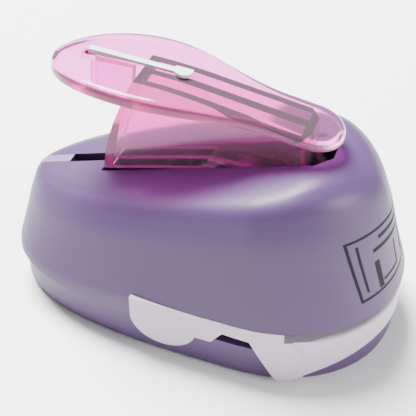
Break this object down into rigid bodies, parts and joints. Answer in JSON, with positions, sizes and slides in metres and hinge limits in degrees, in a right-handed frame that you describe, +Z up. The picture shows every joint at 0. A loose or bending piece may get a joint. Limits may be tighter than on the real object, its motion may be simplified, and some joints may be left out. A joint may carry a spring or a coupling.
{
  "type": "corner rounder",
  "caption": "Lever punch that rounds paper corners: egg-shaped shell, see-through paddle lever with a sliding lock, spring-loaded cutter and die, pull-off corner guide.",
  "frame": {"origin": "on the table, under the middle of the tool's bounding box", "axes": "+X towards the paper mouth, +Z up, Y across the tool along the lever's pin"},
  "size_m": [0.1061, 0.062, 0.0701],
  "materials": {
    "shell_plastic": "satin lilac",
    "pale_plastic": "satin white",
    "catch_plastic": "satin pale lilac",
    "clear_pink": "see-through pink",
    "lock_plastic": "matt light grey",
    "plated_steel": "zinc plated",
    "hardened_steel": "ground",
    "spring_steel": "bright wire",
    "screw_steel": "black zinc"
  },
  "bodies": {
    "housing": {"upper_shell": "shell_plastic", "base_shell": "shell_plastic", "rear_catch": "catch_plastic", "pivot_pin": "plated_steel", "pivot_clip": "screw_steel", "pivot_bracket": "plated_steel", "mouth_plate": "plated_steel", "spacer_plate": "plated_steel", "die_plate": "hardened_steel", "left_post": "plated_steel", "right_post": "plated_steel", "left_spring": "spring_steel", "right_spring": "spring_steel", "stack_screws": "screw_steel", "base_screws": "screw_steel"},
    "lever_unit": {"lever": "clear_pink"},
    "lock_unit": {"lock_bar": "lock_plastic", "lock_hook": "clear_pink"},
    "cutter_unit": {"cutter": "hardened_steel", "cutter_carrier": "plated_steel", "carrier_screw": "screw_steel"},
    "guide_unit": {"corner_guide": "pale_plastic"}
  },
  "joints": [
    {"name": "lever_press", "type": "hinge", "parent": "housing", "child": "lever_unit", "pos_m": [0.04, 0, 0.03], "axis": [0, -1, 0], "range_deg": [0, 20.2], "stiffness_Nm_per_rad": 1.4, "springref_deg": -12.03},
    {"name": "cutter_slide", "type": "slide", "parent": "housing", "child": "cutter_unit", "axis": [0, 0, -1], "range_m": [0, 0.0105], "deforming": ["left_spring", "right_spring"]},
    {"name": "lock_slide", "type": "slide", "parent": "lever_unit", "child": "lock_unit", "axis": [-0.9982, 0, 0.0593], "range_m": [0, 0.002]},
    {"name": "guide_slide", "type": "slide", "parent": "housing", "child": "guide_unit", "axis": [1, 0, 0], "range_m": [0, 0.065]}
  ],
  "couplings": [
    {"joint": "cutter_slide", "follows": "lever_press", "m_per_rad": 0.0295}
  ]
}
